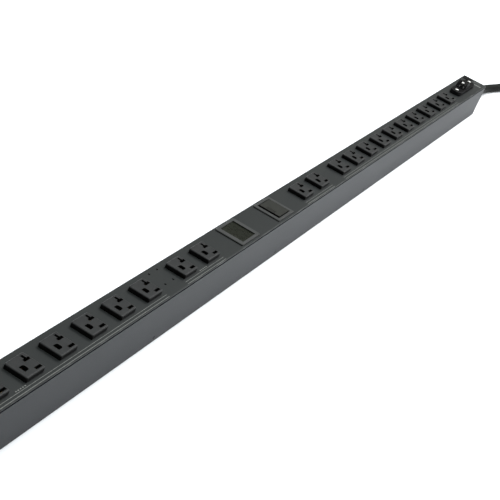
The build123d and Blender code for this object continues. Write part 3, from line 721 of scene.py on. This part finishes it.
NODE_SLOTS = {
    "housing_paint": ["housing_channel", "end_cap_near", "end_cap_cord"],
    "cover_paint": ["front_cover"],
    "outlet_plastic": OUTLETS,
    "bezel_plastic": ["meter_case", "bay_housing"],
    "smoked_lens": ["meter_lens"],
    "circuit_board": ["meter_board"],
    "display": ["meter_display"],
    "door_plastic": ["bay_door"],
    "breaker_plastic": [
        "branch_breakers", "main_breaker", "main_breaker_guard", "terminal_block", "current_sensor",
    ],
    "rocker_plastic": ["branch_rocker_1", "branch_rocker_2"],
    "toggle_plastic": ["main_toggle"],
    "bright_steel": ["main_breaker_screws"],
    "plated_steel": ["mount_inserts", "ground_stud"],
    "dark_steel": ["end_cap_screws", "side_screws"],
    "bar_brass": ["line_bars", "neutral_bar", "ground_bar", "plug_blades"],
    "insulator": ["bar_carrier"],
    "wire_cover": ["feed_wire"],
    "gland_plastic": ["cord_gland", "gland_nut", "strain_relief"],
    "plug_plastic": ["plug_body"],
}


def paint_nodes(materials):
    """Gives every CAD node that stays its material."""
    for slot, names in NODE_SLOTS.items():
        for name in names:
            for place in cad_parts[name].material_slots:
                place.material = materials[slot]


# ---- Shapes ----------------------------------------------------------------------------------


def facing_up(a, b, c):
    """An outline seen from above, with its thickness along Z."""
    return (a, b, c)


def facing_along(a, b, c):
    """An outline across the strip, in Y and Z, with its thickness along X."""
    return (c, a, b)


def facing_across(a, b, c):
    """An outline on the side wall, in X and Z, with its thickness along Y."""
    return (a, c, b)


def rounded(a0, a1, b0, b1, corner, steps=4):
    """The outline of a rectangle with round corners."""
    outline = []
    corners = ((a1, b1, 0), (a0, b1, 1), (a0, b0, 2), (a1, b0, 3))
    for a, b, quarter in corners:
        centre_a = a - corner if a == a1 else a + corner
        centre_b = b - corner if b == b1 else b + corner
        for i in range(steps + 1):
            angle = math.pi / 2 * (quarter + i / steps)
            outline.append((centre_a + corner * math.cos(angle), centre_b + corner * math.sin(angle)))
    return outline


def prism(outline, low, high, facing=facing_up):
    """A plate with an outline, between two heights."""
    count = len(outline)
    corners = [facing(a, b, low) for a, b in outline] + [facing(a, b, high) for a, b in outline]
    faces = [list(range(count)), list(range(count, 2 * count))]
    for i in range(count):
        following = (i + 1) % count
        faces.append([i, following, count + following, count + i])
    return corners, faces


def wrap(loops):
    """A closed surface over loops of as many points each, the last joined to the first."""
    count = len(loops[0])
    corners = [point for loop in loops for point in loop]
    faces = []
    for i in range(len(loops)):
        following = (i + 1) % len(loops)
        for j in range(count):
            next_j = (j + 1) % count
            here = i * count
            there = following * count
            faces.append([here + j, here + next_j, there + next_j, there + j])
    return corners, faces


def circle(centre_a, centre_b, radius, steps):
    """The outline of a circle."""
    turns = [2 * math.pi * i / steps for i in range(steps)]
    return [(centre_a + radius * math.cos(t), centre_b + radius * math.sin(t)) for t in turns]


def ring(section, centre_y, centre_z):
    """A ring round the X direction with a section of (x, radius) points."""
    loops = []
    for x, radius in section:
        loops.append([(x, y, z) for y, z in circle(centre_y, centre_z, radius, RING_STEPS)])
    return wrap(loops)


def turned(part, angle, centre_y, centre_z):
    """A part turned about the X direction."""
    corners, faces = part
    c = math.cos(angle)
    s = math.sin(angle)
    moved = []
    for x, y, z in corners:
        dy = y - centre_y
        dz = z - centre_z
        moved.append((x, centre_y + dy * c - dz * s, centre_z + dy * s + dz * c))
    return moved, faces


def tipped(part, angle, centre_x, centre_z):
    """A part drawn upright at the origin, tipped about Y and put at its pivot."""
    corners, faces = part
    c = math.cos(angle)
    s = math.sin(angle)
    return [(centre_x + x * c + z * s, y, centre_z - x * s + z * c) for x, y, z in corners], faces


def add_piece(name, parts, material, body="housing", bevel=0.0):
    """A piece made of closed parts, with its material and the body it rides on."""
    corners = []
    faces = []
    for part_corners, part_faces in parts:
        start = len(corners)
        corners += part_corners
        faces += [[start + i for i in face] for face in part_faces]
    mesh = bpy.data.meshes.new(name)
    mesh.from_pydata(corners, [], faces)
    shape = bmesh.new()
    shape.from_mesh(mesh)
    bmesh.ops.recalc_face_normals(shape, faces=shape.faces)
    shape.to_mesh(mesh)
    shape.free()
    mesh.shade_smooth()
    mesh.set_sharp_from_angle(angle=SHARP_ANGLE)
    mesh.materials.append(material)
    piece = bpy.data.objects.new(name, mesh)
    bpy.context.scene.collection.objects.link(piece)
    if bevel:
        rounding = piece.modifiers.new("edges", "BEVEL")
        rounding.width = bevel
        rounding.segments = BEVEL_SEGMENTS
    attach(piece, body)
    return piece


# ---- Details ---------------------------------------------------------------------------------


def add_cover_print_and_highlight(ink_and_highlight):
    """Pale lines beside the outlet groups (a printed line and a painted highlight line by the cover's edge),
    ticks, and the label bar with its short lines.
    """
    z0 = TOP + PLAY
    z1 = z0 + PRINT_T
    lines = []
    middles = sorted((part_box(name)[0][0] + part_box(name)[1][0]) / 2 for name in OUTLETS)
    start = middles[0]
    for here, following in zip(middles, middles[1:] + [math.inf]):
        if following - here > GROUP_BREAK:
            for line_y in PRINT_AND_HIGHLIGHT_LINES_Y:
                ends = (start - EDGE_LINE_MARGIN, here + EDGE_LINE_MARGIN)
                edge = rounded(*ends, *line_y, EDGE_LINE_CORNER, steps=1)
                lines.append(prism(edge, z0, z1))
            start = following
    add_piece("print_and_highlight_lines", lines, ink_and_highlight)

    ticks = []
    for middle in TICK_XS:
        for i in range(TICK_COUNT):
            x = middle + (i - (TICK_COUNT - 1) / 2) * TICK_STEP
            y = PRINT_AND_HIGHLIGHT_LINES_Y[0][1] + TICK_SIZE[1]
            half = TICK_SIZE[0] / 2
            tick = rounded(x - half, x + half, y, y + TICK_SIZE[1], PRINT_CORNER, steps=2)
            ticks.append(prism(tick, z0, z1))
    add_piece("tick_marks", ticks, ink_and_highlight)

    label = [prism(rounded(*LABEL_X, *LABEL_Y, LABEL_CORNER), z0, z1)]
    for x in NOTE_XS:
        label.append(prism(rounded(x, x + NOTE_W, *NOTE_Y, PRINT_CORNER, steps=2), z0, z1))
    add_piece("label_bar", label, ink_and_highlight)


def add_end_plate(materials):
    """The small dark plate beside the label, with a rounded rim."""
    plate = prism(rounded(*PLATE_X, *PLATE_Y, PLATE_CORNER), TOP + PLAY, TOP + PLATE_T)
    add_piece("end_plate", [plate], materials["breaker_plastic"], bevel=FINE_BEVEL)


def cross_recess_shade(a, b, low, high, facing):
    """The two arms of a cross recess, as dark inlays of painted shade."""
    long = DRIVE_L / 2
    half = DRIVE_W / 2
    arms = [rounded(a - long, a + long, b - half, b + half, DRIVE_CORNER, steps=2)]
    arms.append(rounded(a - half, a + half, b - long, b + long, DRIVE_CORNER, steps=2))
    return [prism(arm, low, high, facing) for arm in arms]


def add_screw_recess_shades(materials):
    """Painted shade of the cross recesses on the side screws and the end cap screws."""
    side_recess_shades = []
    for i in range(SIDE_SCREW_COUNT):
        x = FIRST_SIDE_SCREW + i * SIDE_SCREW_STEP
        for side in (-1, 1):
            face = side * HALF_WIDTH
            side_recess_shades += cross_recess_shade(x, SIDE_SCREW_Z, face, face + side * PLAY, facing_across)
    cap_recess_shades = []
    for y in CAP_SCREW_YS:
        for side in (-1, 1):
            face = side * HALF_LENGTH
            cap_recess_shades += cross_recess_shade(y, CAP_SCREW_Z, face, face + side * PLAY, facing_along)
    dark = materials["breaker_plastic"]
    add_piece("side_screw_recess_shades", side_recess_shades, dark)
    add_piece("cap_screw_recess_shades", cap_recess_shades, dark)


def add_sleeve_ribs(materials):
    """Rounded ribs round the cord's tapered sleeve."""
    ribs = []
    for i in range(SLEEVE_RIBS):
        share = (i + FIRST_RIB) / SLEEVE_RIBS
        x = SLEEVE_X + share * SLEEVE_L
        radius = SLEEVE_R[0] + share * (SLEEVE_R[1] - SLEEVE_R[0])
        section = []
        for step in range(RIB_STEPS):
            turn = 2 * math.pi * step / RIB_STEPS
            section.append((x + RIB_W * math.cos(turn), radius + RIB_H * math.sin(turn)))
        ribs.append(ring(section, 0.0, CORD_Z))
    return add_piece("sleeve_ribs", ribs, materials["gland_plastic"])


def add_gland_flutes(materials):
    """Small ridges round the gland's collar."""
    start, end = [HALF_LENGTH + GLAND_L * share for share in FLUTE_SPAN]
    outline = rounded(-FLUTE_W / 2, FLUTE_W / 2, -FLUTE_H, FLUTE_H, FLUTE_CORNER, steps=3)
    flutes = []
    for i in range(GLAND_FLUTES):
        moved = [(a, CORD_Z + GLAND_R + b) for a, b in outline]
        flute = prism(moved, start, end, facing_along)
        flutes.append(turned(flute, 2 * math.pi * i / GLAND_FLUTES, 0.0, CORD_Z))
    return add_piece("gland_flutes", flutes, materials["gland_plastic"], bevel=FINE_BEVEL)


def add_plug_details(materials):
    """Grip ridges, a front rim and a clamp with its screws on the plug."""
    outline = rounded(-PLUG_RIB_W / 2, PLUG_RIB_W / 2, -PLUG_RIB_H, PLUG_RIB_H, PLUG_RIB_CORNER, steps=3)
    ribs = []
    for i in range(PLUG_RIBS):
        angle = 2 * math.pi * i / PLUG_RIBS
        if abs(angle - math.pi) < PLUG_FLAT:
            continue
        moved = [(PLUG_Y + a, PLUG_Z + PLUG_R + b) for a, b in outline]
        rib = prism(moved, PLUG_X[0] + PLUG_RIB_MARGIN, PLUG_X[1] - PLUG_RIB_MARGIN, facing_along)
        ribs.append(turned(rib, angle, PLUG_Y, PLUG_Z))
    plastic = materials["plug_plastic"]
    grips = add_piece("plug_grips", ribs, plastic, bevel=FINE_BEVEL)

    rings = []
    for section in (PLUG_RIM, PLUG_HUB):
        placed = [(PLUG_X[0] + along, radius) for along, radius in section]
        rings.append(ring(placed, PLUG_Y, PLUG_Z))
    face = add_piece("plug_face_rings", rings, plastic)

    half = CLAMP_W / 2
    low = COLLAR_R - CLAMP_SINK
    high = COLLAR_R + CLAMP_T
    band = [(CLAMP_X - half, low), (CLAMP_X - half, high), (CLAMP_X + half, high), (CLAMP_X + half, low)]
    steel = materials["plated_steel"]
    clamp = add_piece("plug_clamp", [ring(band, PLUG_Y, PLUG_Z)], steel, bevel=CLAMP_BEVEL)
    screws = []
    for side in (-1, 1):
        head = circle(CLAMP_X, PLUG_Y + side * CLAMP_SCREW_Y, CLAMP_SCREW_R, SCREW_STEPS)
        screws.append(prism(head, PLUG_Z + CLAMP_SCREW_Z, PLUG_Z + COLLAR_R + CLAMP_SCREW_RISE))
    heads = add_piece("plug_clamp_screws", screws, steel, bevel=BROAD_BEVEL)
    return [grips, face, clamp, heads]


def bundle_outline(x, centre_y, offset):
    """The outline round two cords by two, at a place along the coil."""
    half = CORD_DIAMETER / 2
    middle_z = (LOW_Z + HIGH_Z) / 2 + TIE_RAISE
    reach = 2 * half + offset
    across = (centre_y - reach, centre_y + reach)
    upright = (middle_z - reach, middle_z + reach)
    return [(x, y, z) for y, z in rounded(*across, *upright, half + offset, BUNDLE_STEPS)]


def add_ties(materials):
    """A woven hook-and-loop tie round each side of the coil, with its loose end lapped on top."""
    fabric = materials["tie_fabric"]
    middle_r = (OUTER_R + INNER_R) / 2 - TIE_SHIFT
    straps = []
    tongues = []
    for side in (-1, 1):
        centre_y = COIL_Y + side * middle_r
        section = rounded(-TIE_W / 2, TIE_W / 2, TIE_PLAY, TIE_PLAY + TIE_T, TIE_CORNER, steps=3)
        straps.append(wrap([bundle_outline(COIL_X + along, centre_y, offset) for along, offset in section]))
        top = (LOW_Z + HIGH_Z) / 2 + TIE_RAISE + CORD_DIAMETER + TIE_PLAY + TIE_T
        half_w = TIE_W / 2 - TONGUE_INSET
        half_l = TONGUE_L / 2
        across = (COIL_X - half_w, COIL_X + half_w)
        tongue = rounded(*across, centre_y - half_l, centre_y + half_l, TONGUE_CORNER)
        tongues.append(prism(tongue, top - PLAY, top + TONGUE_T))
    ties = add_piece("coil_ties", straps, fabric)
    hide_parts("hank_ties")
    ends = add_piece("tie_ends", tongues, fabric, bevel=BROAD_BEVEL)
    return [ties, ends]


def segments(x):
    """The seven bars of one digit, whose height runs across the strip."""
    bars = []
    half_l = SEGMENT_L / 2
    half_w = SEGMENT_W / 2
    reach = half_l - SEGMENT_GAP
    pitch = SEGMENT_L + 2 * SEGMENT_GAP - SEGMENT_W
    for row in (-1, 0, 1):
        y = row * pitch
        bars.append((x - reach, x + reach, y - half_w, y + half_w))
    for column in (-1, 1):
        for row in (-1, 1):
            middle_x = x + column * half_l
            middle_y = row * pitch / 2
            bars.append((middle_x - half_w, middle_x + half_w, middle_y - reach, middle_y + reach))
    top = DIGIT_TOP + SEGMENT_T
    return [prism(rounded(*bar, SEGMENT_CORNER, steps=2), DIGIT_TOP, top) for bar in bars]


def add_digits(materials):
    """The unlit seven-segment digits under the meter's lens."""
    for i, name in enumerate(DIGIT_NAMES):
        x = METER_X + (i - 1) * DIGIT_PITCH
        add_piece(f"digit_{name}", segments(x), materials["insulator"])


def add_door_ribs(materials):
    """Fine ribs by the door's free edge for a fingertip."""
    ribs = []
    for x in DOOR_RIB_XS:
        outline = rounded(x, x + DOOR_RIB_W, -DOOR_RIB_HALF, DOOR_RIB_HALF, DOOR_RIB_CORNER, steps=3)
        ribs.append(prism(outline, DOOR_TOP - PLAY, DOOR_TOP + DOOR_RIB_H))
    add_piece("door_ribs", ribs, materials["door_plastic"], body="bay_door", bevel=THIN_BEVEL)


def add_rocker_marks(ink_and_highlight):
    """A bar and a ring on each rocker, for on and off, at the height of its dished face there."""
    dish_middle, dish_r = ROCKER_DISH
    height = dish_middle - math.sqrt(dish_r ** 2 - MARK_REACH ** 2)
    low = height - MARK_T
    high = height + MARK_T
    inner, outer = RING_MARK_R
    half_x, half_y = BAR_MARK_HALF
    for number, side in ((1, 1), (2, -1)):
        y = side * ROCKER_Y
        along = (-MARK_REACH - half_x, -MARK_REACH + half_x)
        outline = rounded(*along, y - half_y, y + half_y, BAR_MARK_CORNER, steps=2)
        loops = []
        for radius, z in ((inner, low), (outer, low), (outer, high), (inner, high)):
            loops.append([(a, b, z) for a, b in circle(MARK_REACH, y, radius, MARK_STEPS)])
        marks = (prism(outline, low, high), wrap(loops))
        parts = [tipped(part, ROCKER_TILT, ROCKER_X, ROCKER_Z) for part in marks]
        add_piece(f"rocker_marks_{number}", parts, ink_and_highlight, body=f"branch_rocker_{number}")


def add_toggle_mark(materials):
    """A pale insert in the end of the toggle's handle."""
    half_x, half_y = INSERT_HALF
    outline = rounded(-half_x, half_x, -half_y, half_y, INSERT_CORNER)
    upright = prism(outline, INSERT_TOP - MARK_T, INSERT_TOP + MARK_T)
    insert = tipped(upright, TOGGLE_TILT, TOGGLE_X, TOGGLE_Z)
    add_piece("toggle_mark", [insert], materials["toggle_mark"], body="main_toggle")


def add_toggle_grips(materials):
    """Three rounded ribs across each face of the toggle's handle."""
    ribs = []
    half = GRIP_L / 2
    reach = GRIP_HALF_T + GRIP_RISE
    for height in GRIP_HEIGHTS:
        outline = rounded(-reach, reach, height, height + GRIP_W, GRIP_CORNER, steps=2)
        ribs.append(tipped(prism(outline, -half, half, facing_across), TOGGLE_TILT, TOGGLE_X, TOGGLE_Z))
    plastic = materials["toggle_plastic"]
    add_piece("toggle_grips", ribs, plastic, body="main_toggle", bevel=THIN_BEVEL)


# ---- Studio ----------------------------------------------------------------------------------


def add_softbox(name, place, aim, size, power):
    """A flat rectangular lamp at a place, turned to face the point it is aimed at."""
    panel = bpy.data.lights.new(name, "AREA")
    panel.shape = "RECTANGLE"
    panel.size, panel.size_y = size
    panel.energy = power
    softbox = bpy.data.objects.new(name, panel)
    softbox.location = place
    softbox.rotation_euler = (Vector(aim) - Vector(place)).to_track_quat("-Z", "Y").to_euler()
    bpy.context.scene.collection.objects.link(softbox)


def add_studio(materials):
    """A pale floor, a sky that brightens overhead over a glowing horizon, a wide soft sun and two lamps."""
    corners = [(side_x * FLOOR_HALF, side_y * FLOOR_HALF, 0) for side_x, side_y in FLOOR_CORNERS]
    mesh = bpy.data.meshes.new("floor")
    mesh.from_pydata(corners, [], [range(len(corners))])
    mesh.materials.append(materials["pale_floor"])
    floor = bpy.data.objects.new("floor", mesh)
    floor.location.z = -FLOOR_DROP
    bpy.context.scene.collection.objects.link(floor)

    world = bpy.data.worlds.new("studio")
    world.use_nodes = True
    tree = world.node_tree
    place = tree.nodes.new("ShaderNodeTexCoord")
    parts = tree.nodes.new("ShaderNodeSeparateXYZ")
    tree.links.new(place.outputs["Generated"], parts.inputs["Vector"])
    rise = tree.nodes.new("ShaderNodeMath")
    rise.operation = "POWER"
    rise.inputs[1].default_value = SKY_RISE
    tree.links.new(add_range(tree, parts.outputs["Z"], 0.0, 1.0, 0.0, 1.0), rise.inputs[0])
    sky = add_range(tree, rise.outputs["Value"], 0.0, 1.0, HORIZON_LIGHT, SKY_LIGHT)
    glow = add_range(tree, parts.outputs["Z"], 0.0, GLOW_TOP, GLOW_LIGHT, 0.0)
    strength = add_sum(tree, "ADD", sky, glow)
    tree.links.new(strength, tree.nodes["Background"].inputs["Strength"])
    height = add_range(tree, parts.outputs["Z"], *SKY_TINT_BAND, 0.0, 1.0)
    tint = add_mix(tree, height, LOW_SKY, HIGH_SKY)
    tree.links.new(tint, tree.nodes["Background"].inputs["Color"])
    bpy.context.scene.world = world

    sun = bpy.data.lights.new("sun", "SUN")
    sun.energy = SUN_LIGHT
    sun.angle = SUN_SPREAD
    lamp = bpy.data.objects.new("sun", sun)
    lamp.rotation_euler = SUN_TURN
    bpy.context.scene.collection.objects.link(lamp)

    add_softbox("softbox", SOFTBOX_AT, SOFTBOX_AIM, SOFTBOX_SIZE, SOFTBOX_POWER)
    below = (OVERHEAD_AT[0], OVERHEAD_AT[1], 0.0)
    add_softbox("overhead", OVERHEAD_AT, below, (OVERHEAD_SIZE, OVERHEAD_SIZE), OVERHEAD_POWER)
    bpy.context.scene.view_settings.view_transform = "Standard"


# ---- The scene -------------------------------------------------------------------------------

add_camera()
materials = make_materials()
ink_and_highlight = materials["pale_ink_and_highlight"]
paint_nodes(materials)

cord = add_curve("cord", CORD_ROUTE + coil_points() + TAIL_ROUTE, CORD_DIAMETER / 2)
cord.data.materials.append(materials["cord_cover"])
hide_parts("power_cord", "cord_hank")
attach(cord, "housing")
cord_pieces = [add_sleeve_ribs(materials), add_gland_flutes(materials)]
cord_pieces += add_plug_details(materials) + add_ties(materials)

add_cover_print_and_highlight(ink_and_highlight)
add_end_plate(materials)
add_screw_recess_shades(materials)
add_digits(materials)
add_door_ribs(materials)
add_rocker_marks(ink_and_highlight)
add_toggle_grips(materials)
add_toggle_mark(materials)
add_studio(materials)
